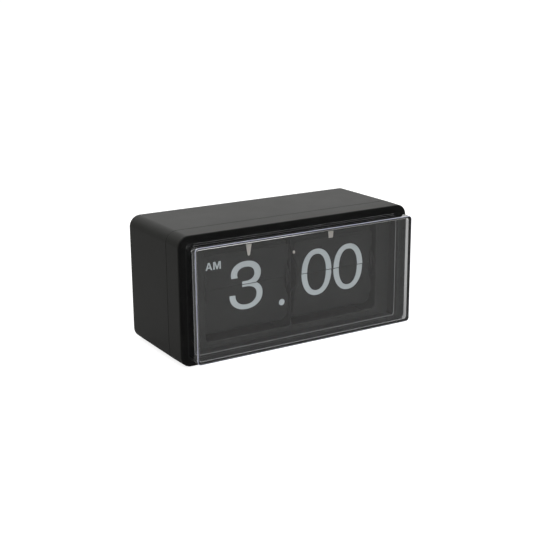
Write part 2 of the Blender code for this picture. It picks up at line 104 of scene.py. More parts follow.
# ---- materials ---------------------------------------------------------------------------------
def new_material(name):
    """A node material with its tree and its main shader."""
    mat = bpy.data.materials.new(name)
    mat.use_nodes = True
    tree = mat.node_tree
    return mat, tree, tree.nodes["Principled BSDF"]


def link(tree, out, into):
    tree.links.new(out, into)


def texture(tree, kind, **values):
    """A procedural texture in object space; scales are in features per metre."""
    coords = tree.nodes.get("Coords") or tree.nodes.new("ShaderNodeTexCoord")
    coords.name = "Coords"
    node = tree.nodes.new(kind)
    for key, value in values.items():
        node.inputs[key].default_value = value
    link(tree, coords.outputs["Object"], node.inputs["Vector"])
    return node


def ramp(tree, source, low, high, start=0.3, stop=0.7):
    """Colour that runs from low to high as the source goes from start to stop."""
    node = tree.nodes.new("ShaderNodeValToRGB")
    node.color_ramp.elements[0].position, node.color_ramp.elements[1].position = start, stop
    node.color_ramp.elements[0].color, node.color_ramp.elements[1].color = low, high
    link(tree, source, node.inputs["Fac"])
    return node.outputs["Color"]


def span(tree, source, low, high):
    """The source's 0 to 1 spread between two numbers."""
    node = tree.nodes.new("ShaderNodeMapRange")
    node.inputs["To Min"].default_value, node.inputs["To Max"].default_value = low, high
    link(tree, source, node.inputs["Value"])
    return node.outputs["Result"]


def bump(tree, shader, source, strength, distance):
    """Fine relief; the distance is in metres."""
    node = tree.nodes.new("ShaderNodeBump")
    node.inputs["Strength"].default_value = strength
    node.inputs["Distance"].default_value = distance
    link(tree, source, node.inputs["Height"])
    link(tree, node.outputs["Normal"], shader.inputs["Normal"])


def grey(value, tint=(1.0, 1.0, 1.0)):
    """Colour of one brightness, tinted."""
    return (value * tint[0], value * tint[1], value * tint[2], 1.0)


def moulded(name, dark, light, rough=(0.45, 0.58), specular=0.35, grain=2600, depth=0.00003,
            tint=(1.0, 1.0, 1.0)):
    """Moulded plastic: fine spark-eroded grain, slow colour drift and uneven sheen."""
    mat, tree, shader = new_material(name)
    drift = texture(tree, "ShaderNodeTexNoise", Scale=38.0, Detail=5.0, Roughness=0.6)
    fine = texture(tree, "ShaderNodeTexNoise", Scale=float(grain), Detail=3.0, Roughness=0.65)
    link(tree, ramp(tree, drift.outputs["Fac"], grey(dark, tint), grey(light, tint)),
         shader.inputs["Base Color"])
    link(tree, span(tree, drift.outputs["Fac"], *rough), shader.inputs["Roughness"])
    bump(tree, shader, fine.outputs["Fac"], 0.35, depth)
    shader.inputs["Specular IOR Level"].default_value = specular
    return mat


def clear_acrylic():
    """Polished clear plastic with faint haze; light from the lamps passes straight through."""
    mat, tree, shader = new_material("clear_acrylic")
    haze = texture(tree, "ShaderNodeTexNoise", Scale=22.0, Detail=4.0, Roughness=0.6)
    link(tree, span(tree, haze.outputs["Fac"], 0.0, 0.02), shader.inputs["Roughness"])
    shader.inputs["Base Color"].default_value = (0.985, 0.99, 1.0, 1.0)
    shader.inputs["IOR"].default_value = 1.49
    shader.inputs["Transmission Weight"].default_value = 1.0
    through = tree.nodes.new("ShaderNodeBsdfTransparent")
    through.inputs["Color"].default_value = (0.92, 0.93, 0.94, 1.0)
    path = tree.nodes.new("ShaderNodeLightPath")
    mix = tree.nodes.new("ShaderNodeMixShader")
    output = tree.nodes["Material Output"]
    link(tree, path.outputs["Is Shadow Ray"], mix.inputs[0])
    link(tree, shader.outputs["BSDF"], mix.inputs[1])
    link(tree, through.outputs["BSDF"], mix.inputs[2])
    link(tree, mix.outputs["Shader"], output.inputs["Surface"])
    return mat


def painted_highlight_edge():
    """Rounded edges of the clear cover, coloured milky lavender as a painted highlight, so they show
    as bright milky lines.
    """
    mat, tree, shader = new_material("acrylic_edge_painted_highlight")
    # painted highlight colour, mottled by this noise
    highlight_noise = texture(tree, "ShaderNodeTexNoise", Scale=90.0, Detail=4.0, Roughness=0.6)
    link(tree, ramp(tree, highlight_noise.outputs["Fac"], (0.64, 0.66, 0.92, 1), (0.82, 0.84, 1.0, 1)),
         shader.inputs["Base Color"])
    link(tree, span(tree, highlight_noise.outputs["Fac"], 0.08, 0.2), shader.inputs["Roughness"])
    shader.inputs["IOR"].default_value = 1.49
    shader.inputs["Transmission Weight"].default_value = 0.35
    return mat


def brushed_steel(name, axis):
    """Turned or drawn metal with streaks along one axis."""
    mat, tree, shader = new_material(name)
    coords = tree.nodes.new("ShaderNodeTexCoord")
    stretch = tree.nodes.new("ShaderNodeMapping")
    stretch.inputs["Scale"].default_value = [40.0 if k == axis else 3000.0 for k in range(3)]
    noise = tree.nodes.new("ShaderNodeTexNoise")
    noise.inputs["Scale"].default_value = 1.0
    noise.inputs["Detail"].default_value = 3.0
    link(tree, coords.outputs["Object"], stretch.inputs["Vector"])
    link(tree, stretch.outputs["Vector"], noise.inputs["Vector"])
    link(tree, ramp(tree, noise.outputs["Fac"], grey(0.42), grey(0.62)), shader.inputs["Base Color"])
    link(tree, span(tree, noise.outputs["Fac"], 0.22, 0.42), shader.inputs["Roughness"])
    bump(tree, shader, noise.outputs["Fac"], 0.2, 0.00001)
    shader.inputs["Metallic"].default_value = 1.0
    return mat


def printed_ink():
    """Screen-printed pale grey ink with a slight grain."""
    mat, tree, shader = new_material("printed_ink")
    speck = texture(tree, "ShaderNodeTexNoise", Scale=1800.0, Detail=4.0, Roughness=0.7)
    link(tree, ramp(tree, speck.outputs["Fac"], (0.43, 0.47, 0.475, 1), (0.52, 0.565, 0.57, 1)),
         shader.inputs["Base Color"])
    link(tree, span(tree, speck.outputs["Fac"], 0.45, 0.6), shader.inputs["Roughness"])
    bump(tree, shader, speck.outputs["Fac"], 0.15, 0.00001)
    shader.inputs["Specular IOR Level"].default_value = 0.3
    return mat


def circuit_laminate():
    """Green board with darker tracks."""
    mat, tree, shader = new_material("circuit_laminate")
    cells = texture(tree, "ShaderNodeTexVoronoi", Scale=420.0)
    link(tree, ramp(tree, cells.outputs["Distance"], (0.012, 0.075, 0.03, 1), (0.03, 0.16, 0.07, 1),
                    0.2, 0.45), shader.inputs["Base Color"])
    shader.inputs["Roughness"].default_value = 0.35
    return mat


def cell_wrap():
    """Shrink film round a battery: a dark body with a lighter band at one end."""
    mat, tree, shader = new_material("cell_wrap")
    coords = tree.nodes.new("ShaderNodeTexCoord")
    split = tree.nodes.new("ShaderNodeSeparateXYZ")
    link(tree, coords.outputs["Object"], split.inputs["Vector"])
    band = span(tree, split.outputs["X"], 0.0, 1.0)
    edge = band.node.inputs
    edge["From Min"].default_value, edge["From Max"].default_value = -0.0235, -0.0225
    link(tree, ramp(tree, band, (0.03, 0.06, 0.13, 1), (0.55, 0.42, 0.12, 1), 0.4, 0.6),
         shader.inputs["Base Color"])
    shader.inputs["Roughness"].default_value = 0.3
    return mat


PIECES = []  # every piece made here, in the order it was made
M = {        # every finish, by the part of the clock it belongs to
    "case": moulded("case_plastic", 0.016, 0.022, (0.42, 0.55), 0.20, tint=(1.0, 1.0, 0.94)),
    # rim: a darker copy of the case plastic for the frame's front-facing faces and the opening's
    # walls, as painted shade
    "rim": moulded("rim_plastic_painted_shade", 0.004, 0.006, (0.40, 0.52), 0.12),
    # bead: the same black plastic made about ten times paler, as a painted highlight along the raised
    # line
    "bead": moulded("bead_painted_highlight", 0.20, 0.26, (0.2, 0.3), 0.6),
    "dial": moulded("dial_plastic", 0.0115, 0.016, (0.5, 0.65), 0.2, tint=(1.0, 1.0, 0.95)),
    "leaf": moulded("leaf_plastic", 0.0095, 0.0135, (0.5, 0.62), 0.2, 3200, 0.00001,
                    tint=(1.0, 1.0, 0.95)),
    # leaf_edge: a paler copy of the leaf plastic for the leaf sides, a painted highlight
    "leaf_edge": moulded("leaf_edge_painted_highlight", 0.012, 0.018, (0.4, 0.5), 0.35),
    "cream": moulded("cream_plastic", 0.50, 0.58, (0.4, 0.55), 0.4, tint=(1.0, 0.95, 0.86)),
    # movement: the mechanism's dark plastic, darker than the other black parts as painted shade in
    # the gap between the leaf stacks
    "movement": moulded("movement_plastic_painted_shade", 0.007, 0.010, (0.45, 0.6), 0.18),
    "gear": moulded("gear_plastic", 0.62, 0.72, (0.3, 0.42), 0.45, tint=(1.0, 1.0, 0.96)),
    "rubber": moulded("foot_rubber", 0.012, 0.02, (0.75, 0.9), 0.2, 1500, 0.0001),
    "clear": clear_acrylic(),
    # clear_edge_highlight: milky lavender on the cover's rounded edges, a painted highlight
    "clear_edge_highlight": painted_highlight_edge(),
    "ink": printed_ink(),
    "steel": brushed_steel("drawn_steel", 0),
    "screw": brushed_steel("screw_steel", 1),
    "board": circuit_laminate(),
    "cell": cell_wrap(),
}


# ---- mesh helpers ------------------------------------------------------------------------------
def loft(loops, closed=False):
    """Solid through a row of loops with the same count of points; closed joins last to first."""
    bm = bmesh.new()
    rows = [[bm.verts.new(p) for p in loop] for loop in loops]
    count = len(rows[0])
    pairs = list(zip(rows, rows[1:])) + ([(rows[-1], rows[0])] if closed else [])
    for low, high in pairs:
        for i in range(count):
            j = (i + 1) % count
            bm.faces.new((low[i], low[j], high[j], high[i]))
    if not closed:
        bm.faces.new(rows[0])
        bm.faces.new(rows[-1][::-1])
    return bm


def rounded(width, height, radius, steps=12):
    """Rectangle with round corners about its own middle."""
    points = []
    for corner in range(4):
        cu = (width / 2 - radius) * (1 if corner in (0, 3) else -1)
        cv = (height / 2 - radius) * (1 if corner < 2 else -1)
        for k in range(steps + 1):
            a = math.radians(90 * corner + 90 * k / steps)
            points.append((cu + radius * math.cos(a), cv + radius * math.sin(a)))
    return points


def circle(radius, steps=48):
    """Points on a circle about its own middle."""
    return [(radius * math.cos(2 * math.pi * k / steps), radius * math.sin(2 * math.pi * k / steps))
            for k in range(steps)]


def on_y(outline, y, x=0.0, z=0.0):
    """Stand an outline up, facing the front, at depth y."""
    return [(x + u, y, z + v) for u, v in outline]


def on_z(outline, z, x=0.0, y=0.0):
    """Lay an outline flat at height z."""
    return [(x + u, y + v, z) for u, v in outline]


def centre(low, high):
    """Middle of a box."""
    return (low.x + high.x) / 2, (low.y + high.y) / 2, (low.z + high.z) / 2


def solid_object(name, bm):
    """Object in the scene from a bmesh in millimetres."""
    bmesh.ops.recalc_face_normals(bm, faces=bm.faces)
    for vert in bm.verts:
        vert.co *= MM
    mesh = bpy.data.meshes.new(name)
    bm.to_mesh(mesh)
    bm.free()
    obj = bpy.data.objects.new(name, mesh)
    bpy.context.collection.objects.link(obj)
    return obj


def bake_modifier(obj):
    """Replace the mesh by what its modifier makes of it."""
    graph = bpy.context.evaluated_depsgraph_get()
    result = bpy.data.meshes.new_from_object(obj.evaluated_get(graph))
    obj.modifiers.clear()
    obj.data = result


def piece(name, bm, mat, body="case", replaced=(), smooth=30):
    """Turn a bmesh in millimetres into a shown piece that rides on a body."""
    obj = solid_object(name, bm)
    obj.data.shade_smooth()
    obj.data.set_sharp_from_angle(angle=math.radians(smooth))
    obj.data.materials.append(mat)
    PIECES.append(obj)
    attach(obj, body)
    if replaced:
        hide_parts(*replaced)
    return obj


def carve(obj, *cutters):
    """Cut solids out of a piece and keep the plain resulting mesh."""
    for bm in cutters:
        tool = solid_object("cutter", bm)
        cut = obj.modifiers.new("cut", "BOOLEAN")
        cut.object, cut.solver, cut.operation = tool, "EXACT", "DIFFERENCE"
        bake_modifier(obj)
        bpy.data.objects.remove(tool, do_unlink=True)
    obj.data.set_sharp_from_angle(angle=math.radians(30))


def flatten_normals():
    """Let the big faces set the shading, so flat walls stay optically flat beside small rounds."""
    for obj in PIECES:
        obj.modifiers.new("weight", "WEIGHTED_NORMAL").keep_sharp = True
        bake_modifier(obj)


def block(low, high, radius=0.4):
    """Box whose four edges along Y are round."""
    outline = rounded(high[0] - low[0], high[2] - low[2], radius, 4)
    x, z = (low[0] + high[0]) / 2, (low[2] + high[2]) / 2
    return loft([on_y(outline, low[1], x, z), on_y(outline, high[1], x, z)])


def bevelled_plate(outline_at, y0, y1, edge):
    """Plate facing -Y whose front and back edges are rounded; outline_at(inset) gives its outline."""
    loops = []
    for k in range(4):
        a = HALF_PI * k / 3
        loops.append(on_y(outline_at(edge * (1 - math.sin(a))), y0 + edge * (1 - math.cos(a))))
    for k in range(4):
        a = HALF_PI * k / 3
        loops.append(on_y(outline_at(edge * (1 - math.cos(a))), y1 - edge * (1 - math.sin(a))))
    return loft(loops)


# ---- case --------------------------------------------------------------------------------------
def case_loop(y, inset, radius):
    """Outline of the case at one depth, drawn in by an inset."""
    return on_y(rounded(CASE_W - 2 * inset, CASE_H - 2 * inset, radius, 16), y, 0, CASE_MID)


def case_shell():
    """Rounded tube of the case, with a rebate at the seam and hollows for the feet."""
    edge, chamfer, tongue, hollow_r, hollow_z = 0.8, 0.2, 0.9, 5.3, 1.6
    front = SHELL_LOW.y
    loops = [case_loop(front, chamfer, CASE_RADIUS), case_loop(front + chamfer, 0, CASE_RADIUS)]
    for k in range(9):
        a = HALF_PI * k / 8
        inset = edge * (1 - math.cos(a))
        loops.append(case_loop(BACK_Y - edge + edge * math.sin(a), inset, CASE_RADIUS - inset / 2))
    loops += [case_loop(BACK_Y, WALL, CASE_RADIUS - WALL),
              case_loop(front + REBATE, WALL, CASE_RADIUS - WALL),
              case_loop(front + REBATE, tongue, CASE_RADIUS - tongue),
              case_loop(front, tongue, CASE_RADIUS - tongue)]
    shell = piece("case_shell_skin", loft(loops, closed=True), M["case"],
                  replaced=("case_shell",))
    places = [centre(*corners("foot_" + name)) for name in FEET]
    carve(shell, *[loft([on_z(circle(hollow_r), z, x, y) for z in (-1, hollow_z)])
                   for x, y, _ in places])


def front_frame():
    """Front ring: matte outside, darker rim face and opening walls as painted shade, and a fine bead
    round the opening whose pale colour is a painted highlight.
    """
    lip, chamfer, tongue = PANEL_LOW.y - 0.3, 0.2, 1.1
    loops = [case_loop(SEAM_Y, chamfer, CASE_RADIUS), case_loop(SEAM_Y - chamfer, 0, CASE_RADIUS)]
    for k in range(7):
        a = HALF_PI * k / 6
        inset = 0.25 + (1 - math.cos(a))
        loops.append(case_loop(RIM_Y + (1 - math.sin(a)), inset, CASE_RADIUS - inset / 2))
    for k in range(9):
        a = math.pi * k / 8
        grow = BEAD * (1 + math.cos(a))
        loops.append(on_y(rounded(OPENING_W + grow, OPENING_H + grow, OPENING_R + grow / 2, 16),
                          RIM_Y - BEAD * math.sin(a) * 0.9, 0, OPENING_MID))
    loops += [on_y(rounded(OPENING_W, OPENING_H, OPENING_R, 16), lip, 0, OPENING_MID),
              on_y(rounded(CASE_W - 2 * WALL, CASE_H - 2 * WALL, CASE_RADIUS - WALL, 16), lip, 0,
                   CASE_MID),
              case_loop(SEAM_Y + REBATE - 0.1, WALL, CASE_RADIUS - WALL),
              case_loop(SEAM_Y + REBATE - 0.1, tongue, CASE_RADIUS - tongue),
              case_loop(SEAM_Y, tongue, CASE_RADIUS - tongue)]
    obj = piece("front_frame_skin", loft(loops, closed=True), M["case"],
                replaced=("front_frame",))
    obj.data.materials.append(M["rim"])
    obj.data.materials.append(M["bead"])
    reach_x, reach_z = OPENING_W / 2 + 0.6, OPENING_H / 2 + 0.8
    for face in obj.data.polygons:
        middle = sum((obj.data.vertices[i].co for i in face.vertices), Vector()) / len(face.vertices)
        in_opening = abs(middle.x) < reach_x * MM and abs(middle.z - CASE_MID * MM) < reach_z * MM
        # faces standing in front of the rim are the bead, in its pale copy: a painted highlight
        if middle.y < (RIM_Y - 0.03) * MM:
            face.material_index = 2
        # faces that face the front, and the walls just inside the opening, take the darker copy:
        # painted shade
        elif face.normal.y < -0.75 or middle.y < (RIM_Y + 8) * MM and in_opening:
            face.material_index = 1


def clear_cover():
    """Clear box: flat front plate, drafted walls, rounded inner corner and crisp outer edge."""
    w, h = COVER_HIGH.x - COVER_LOW.x, COVER_HIGH.z - COVER_LOW.z
    base, front = RIM_Y + 0.25, COVER_LOW.y
    draft, wall, front_wall, plate, edge, cove = 0.5, 2.3, 1.5, 2.0, 0.35, 0.9
    inner_r, outer_r, front_r = 1.9, 2.8, 2.6

    def ring(inset, radius, y):
        return on_y(rounded(w - 2 * inset, h - 2 * inset, radius, 10), y, 0, COVER_MID)
    loops = []
    for k in range(7):
        a = HALF_PI * k / 6
        grow = cove * (1 - math.sin(a))
        loops.append(ring(front_wall + draft / 2 + grow, inner_r - 0.6 * grow,
                          front + plate + cove * (1 - math.cos(a))))
    loops += [ring(wall, inner_r, base), ring(0.0, outer_r, base)]
    for k in range(6):
        a = HALF_PI * k / 5
        inset = edge * (1 - math.cos(a))
        loops.append(ring(draft / 2 + inset, front_r - inset, front + edge * (1 - math.sin(a))))
    obj = piece("clear_cover_skin", loft(loops), M["clear"], replaced=("clear_cover",),
                smooth=40)
    obj.data.materials.append(M["clear_edge_highlight"])
    # the rounded faces of the front edge take the milky colour: a painted highlight
    for face in obj.data.polygons:
        depths = [obj.data.vertices[i].co.y for i in face.vertices]
        if max(depths) < (front + edge + 0.01) * MM and max(depths) - min(depths) > 1e-6:
            face.material_index = 1


def dial_panel():
    """Dark panel with a window, whose front edge is slightly rounded."""
    y0, y1 = PANEL_LOW.y, PANEL_HIGH.y
    w, h = PANEL_HIGH.x - PANEL_LOW.x, PANEL_HIGH.z - PANEL_LOW.z
    window = [(0.5, y1), (0.5, y0 + 0.5), (0.15, y0 + 0.15), (-0.3, y0)]
    loops = [on_y(rounded(w, h, 4, 12), y, 0, CASE_MID) for y in (y0, y1)]
    loops += [on_y(rounded(WINDOW_W - 2 * e + 1.0, WINDOW_H - 2 * e + 1.0, 3.0, 12), y, WINDOW_X,
                   WINDOW_Z) for e, y in window]
    piece("dial_panel_skin", loft(loops, closed=True), M["dial"], replaced=("dial_panel",))


# ---- leaves ------------------------------------------------------------------------------------
def leaf_outline():
    """Leaf about its own middle: half width across, distance from the pin along; T shaped."""
    w, r = LEAF_W / 2, 1.6
    right = [(w - LEAF_STEP, -0.45), (w - LEAF_STEP, NOTCH - 0.3), (w - LEAF_STEP + 0.3, NOTCH),
             (w - 1.6, NOTCH + 0.1), (w - 1.5, 9.6), (w, 13.0)]
    right += [(w - r + r * math.cos(HALF_PI * k / 5), LEAF_L - r + r * math.sin(HALF_PI * k / 5))
              for k in range(6)]
    return right + [(-u, v) for u, v in right[::-1]]


def skin(bm, rows, side_slot=0):
    """Close two matching rows of points into a solid; its sides may take their own material slot,
    which the leaves fill with a paler painted highlight.
    """
    rows = [[bm.verts.new(point) for point in row] for row in rows]
    count = len(rows[0])
    for i in range(count):
        j = (i + 1) % count
        bm.faces.new((rows[0][i], rows[0][j], rows[1][j], rows[1][i])).material_index = side_slot
    bm.faces.new(rows[0])
    bm.faces.new(rows[1][::-1])


def leaf_solid(bm, centre_x, thick, place):
    """Add one leaf to bm; place maps (across, along, through) from the pin to the frame."""
    # the leaf's side faces go to slot 1, the paler leaf-edge copy: a painted highlight
    skin(bm, [[place @ Vector((centre_x + u, side * thick / 2, v)) for u, v in leaf_outline()]
              for side in (-1, 1)], side_slot=1)


def pins(bm, centre_x, place):
    """Short round pins a leaf turns on, one at each end of its narrow edge."""
    edge = LEAF_W / 2 - LEAF_STEP
    for side in (-1, 1):
        skin(bm, [[place @ Vector((centre_x + side * reach, u, v)) for u, v in circle(PIN_R, 16)]
                  for reach in (edge - 0.9, edge + 0.75)])


def shift(y, z, lean=0.0):
    """Place of a leaf: its pin at y, z, and its lean from upright."""
    return Matrix.Translation((0, y, z)) @ Matrix.Rotation(lean, 4, "X")


def leaf_direction(turn):
    """Elevation of a carried leaf, for a pin this far over the drum from the front, in degrees."""
    knots = [(0, 90), (90, 50), (180, -45), (270, -86), (360, -90)]
    for (a, up_a), (b, up_b) in zip(knots, knots[1:]):
        if turn <= b:
            return up_a + (up_b - up_a) * (turn - a) / (b - a)
    return -90


def waiting_place(index, count):
    """Where a waiting leaf's pin is on the drum and how the leaf leans."""
    first, last = 14.0, 330.0
    turn = first + (last - first) * index / (count - 1)
    a = math.radians(180 - turn)
    lean = math.radians(leaf_direction(turn) - 90)
    return shift(AXIS.y + PIN_RING * math.cos(a), AXIS.z + PIN_RING * math.sin(a), lean)


def leaves(side):
    """Standing leaf, fallen leaf and the waiting pack of one display."""
    centre_x = LEFT_X[side] + LEAF_W / 2
    upper, lower, pack = bmesh.new(), bmesh.new(), bmesh.new()
    up, down = shift(PIN.y, PIN.z), shift(LOWER_PIN.y, LOWER_PIN.z, math.pi)
    for bm, place in ((upper, up), (lower, down)):
        leaf_solid(bm, centre_x, LEAF_T, place)
        pins(bm, centre_x, place)
    for index in range(LEAF_COUNT[side]):
        leaf_solid(pack, centre_x, WAITING_T, waiting_place(index, LEAF_COUNT[side]))
    cards = [piece(side + "_upper_card", upper, M["leaf"], side + "_leaf",
                   (side + "_upper_leaf",)),
             piece(side + "_lower_card", lower, M["leaf"], "case",
                   (side + "_lower_leaf",)),
             piece(side + "_waiting_cards", pack, M["leaf"], "case",
                   (side + "_leaf_pack",))]
    # the second slot of each card: the paler leaf-edge copy of the plastic, a painted highlight on
    # the leaf sides
    for card in cards:
        card.data.materials.append(M["leaf_edge"])


# ---- figures -----------------------------------------------------------------------------------
def arc(cx, cz, rx, rz, start, stop, steps, power=1.0):
    """Points on an ellipse, or with a power under 1 on a squarer superellipse; angles in degrees."""
    points = []
    for k in range(steps + 1):
        a = math.radians(start + (stop - start) * k / steps)
        c, s = math.cos(a), math.sin(a)
        points.append((cx + rx * math.copysign(abs(c) ** power, c),
                       cz + rz * math.copysign(abs(s) ** power, s)))
    return points


def zero(cx):
    """Outer and inner outline of a 0 about cx."""
    return [arc(cx, 46.85, 12.7, 17.0, 0, 360, 96, 0.93)[:-1],
            arc(cx, 46.8, 8.0, 13.35, 0, 360, 96, 0.90)[:-1]]


def three(cx):
    """One outline: round the outside of both bowls, back inside, with the short middle bar."""
    upper_z, lower_z, inner_x = 54.4, 39.8, cx - 0.1
    outside = (arc(cx, upper_z, 11.75, 9.05, 192, -50, 40, 0.94)
               + arc(cx, lower_z, 13.05, 9.3, 56, 0, 10, 0.94)
               + arc(cx, lower_z, 13.05, 10.5, 0, -183, 30, 0.94)[1:])
    inside = (arc(inner_x, lower_z, 8.4, 7.15, 177, 360, 26, 0.92)
              + arc(inner_x, lower_z, 8.4, 5.6, 0, 90, 14, 0.9)[1:])
    bar = [(cx - 3.0, 45.4), (cx - 3.0, 49.3)]
    return [outside + inside + bar + arc(inner_x, upper_z, 6.8, 5.0, -88, 202, 36, 0.92)]


def four(cx):
    """A 4 with its slanted stroke, and the triangle inside it."""
    foot, bar, bar_top, top = 29.6, 37.6, 41.6, 64.2
    outline = [(4.6, foot), (4.6, bar), (-13.0, bar), (-13.0, 42.6), (5.4, top), (9.4, top),
               (9.4, bar_top), (13.2, bar_top), (13.2, bar), (9.4, bar), (9.4, foot)]
    hole = [(4.6, bar_top), (4.6, 57.4), (-8.6, bar_top)]
    return moved([outline, hole], cx, 0)


def one(cx):
    """A 1 with a short curved flag."""
    foot, top = 29.6, 64.2
    return moved([[(0.6, foot), (0.6, 56.4), (-7.4, 56.4), (-7.4, 60.0), (-2.6, 60.6), (0.4, 62.0),
                   (1.9, top), (5.8, top), (5.8, foot)]], cx, 0)


def dot(cx, cz, radius):
    """Round mark between hours and minutes."""
    return [arc(cx, cz, radius, radius, 0, 360, 40)[:-1]]


def morning():
    """AM marking: two bold capitals, 5.3 mm high."""
    a, m, z, top = -66.8, -60.9, 61.0, 66.3
    letter_a = [(a, z), (a + 1.95, top), (a + 3.2, top), (a + 5.15, z), (a + 3.95, z),
                (a + 3.55, z + 1.2), (a + 1.6, z + 1.2), (a + 1.2, z)]
    hole = [(a + 1.92, z + 2.1), (a + 2.575, z + 4.1), (a + 3.23, z + 2.1)]
    letter_m = [(m, z), (m, top), (m + 1.6, top), (m + 2.9, z + 1.8), (m + 4.2, top), (m + 5.8, top),
                (m + 5.8, z), (m + 4.7, z), (m + 4.7, z + 4.0), (m + 3.4, z), (m + 2.4, z),
                (m + 1.1, z + 4.0), (m + 1.1, z)]
    return [letter_a, hole, letter_m]


def moved(contours, across, up):
    """The same contours, shifted."""
    return [[(x + across, z + up) for x, z in points] for points in contours]


def ink(name, contours, low, high, body, surface_y, place=Matrix.Identity(4)):
    """Printed figure: the part of the contours between two heights, raised off the leaf."""
    curve = bpy.data.curves.new(name, "CURVE")
    curve.dimensions = "2D"
    curve.fill_mode = "BOTH"
    curve.extrude = INK / 2
    for points in contours:
        spline = curve.splines.new("POLY")
        spline.points.add(len(points) - 1)
        for point, (x, z) in zip(spline.points, points):
            point.co = (x, z, 0, 1)
        spline.use_cyclic_u = True
    holder = bpy.data.objects.new(name + "_curve", curve)
    bm = bmesh.new()
    bm.from_mesh(holder.to_mesh())
    holder.to_mesh_clear()
    bpy.data.objects.remove(holder)
    bmesh.ops.remove_doubles(bm, verts=bm.verts, dist=0.0005)
    for height, sign in ((low, -1), (high, 1)):
        cut = bmesh.ops.bisect_plane(bm, geom=bm.verts[:] + bm.edges[:] + bm.faces[:],
                                     plane_co=(0, height, 0), plane_no=(0, sign, 0),
                                     clear_outer=True)
        edges = [e for e in cut["geom_cut"] if isinstance(e, bmesh.types.BMEdge)]
        if edges:
            bmesh.ops.holes_fill(bm, edges=edges)
    in_front = Matrix.Translation((0, surface_y - INK / 2 - 0.005, 0))
    bm.transform(place @ in_front @ Matrix.Rotation(HALF_PI, 4, "X"))
    piece(name, bm, M["ink"], body, smooth=20)


def figures():
    """The time shown, and the next figures on the leaves' backs and on the leaf that waits."""
    point = dot(-6.8, 29.1, 2.3)
    standing, fallen = PIN.y - LEAF_T / 2, LOWER_PIN.y - LEAF_T / 2
    now = {"hour_three": ("hour", three(HOUR_X)), "minute_tens_zero": ("minute", zero(TENS_X)),
           "minute_units_zero": ("minute", zero(UNITS_X))}
    for name, (side, contours) in now.items():
        ink(name + "_top", contours, SPLIT_UP, FIGURE_HIGH, side + "_leaf", standing)
        ink(name + "_bottom", moved(contours, 0.4, -0.2), FIGURE_LOW, SPLIT_DOWN, "case", fallen)
    ink("morning_mark", morning(), SPLIT_UP, FIGURE_HIGH, "hour_leaf", standing)
    ink("colon_dot", point, FIGURE_LOW, SPLIT_DOWN, "case", fallen)

    over = Matrix.Translation(PIN) @ Matrix.Rotation(math.pi, 4, "X") @ Matrix.Translation(-PIN)
    later = {"hour_four": ("hour", four(HOUR_X)), "minute_next_zero": ("minute", zero(TENS_X)),
             "minute_one": ("minute", one(UNITS_X))}
    behind = {side: waiting_place(0, count) @ Matrix.Translation((0, 0, -PIN.z))
              for side, count in LEAF_COUNT.items()}
    for name, (side, contours) in later.items():
        ink(name + "_back", contours, FIGURE_LOW, SPLIT_UP, side + "_leaf", standing, over)
        ink(name + "_waiting", contours, SPLIT_UP, FIGURE_HIGH, "case", -WAITING_T / 2, behind[side])
    ink("next_dot_back", point, FIGURE_LOW, SPLIT_UP, "hour_leaf", standing, over)
    ink("morning_mark_waiting", morning(), SPLIT_UP, FIGURE_HIGH, "case", -WAITING_T / 2,
        behind["hour"])


# ---- small fittings ----------------------------------------------------------------------------
def finger(node, top_w, tip_w, round_tip):
    """Cream blade hanging from its bar, narrowing to a tip with rounded corners."""
    low, high = corners(node)
    x, _, middle = centre(low, high)
    tip, root = low.z, high.z
    outline = [(x - top_w / 2, root), (x + top_w / 2, root)]
    for side, first in ((1, 0), (-1, 270)):
        for k in range(7):
            a = math.radians(first - 15 * k)
            outline.append((x + side * (tip_w / 2 - round_tip) + round_tip * math.cos(a),
                            tip + round_tip + round_tip * math.sin(a)))

    def shrink(e):
        narrow, shorten = 1 - 2 * e / top_w, 1 - 2 * e / (root - tip)
        return [(x + (u - x) * narrow, middle + (v - middle) * shorten) for u, v in outline]
    piece(node + "_blade", bevelled_plate(shrink, low.y, high.y, 0.12), M["cream"],
          replaced=(node,))


def stud():
    """Stop peg between the leaf stacks: an upright oval cap, domed, on a thin dark stem."""
    low, high = corners("centre_stud")
    x, _, z = centre(low, high)
    r, dome, cap_end, stem_r, stem_start = (high.x - low.x) / 2, 0.5, 0.9, 0.3, 1.0

    def oval(size, y):
        return [(px * 0.8, py, pz) for px, py, pz in on_y(circle(size, 32), y)]
    loops = []
    for k in range(7):
        a = HALF_PI * k / 6
        loops.append(oval(max(r * math.sin(a), 0.02), low.y + dome * (1 - math.cos(a))))
    loops.append(oval(r, low.y + cap_end))
    loops += [on_y(circle(stem_r, 32), y) for y in (low.y + stem_start, high.y)]
    peg = loft(loops)
    for face in peg.faces:
        on_stem = max(vert.co.y for vert in face.verts) > low.y + (cap_end + stem_start) / 2
        face.material_index = int(on_stem)
    bmesh.ops.translate(peg, verts=peg.verts, vec=(x + 0.35, 0, z))
    obj = piece("centre_stud_peg", peg, M["cream"], replaced=("centre_stud",))
    # the stem takes the movement finish: dark plastic, darkened further as painted shade
    obj.data.materials.append(M["movement"])


def cross_recess(x, y, z, size):
    """Two crossed slots, sunk 0.9 mm into a screw head at y."""
    thin = size * 0.26
    return [block((x - w / 2, y - 0.9, z - h / 2), (x + w / 2, y + 1, z + h / 2), 0.1)
            for w, h in ((size, thin), (thin, size))]


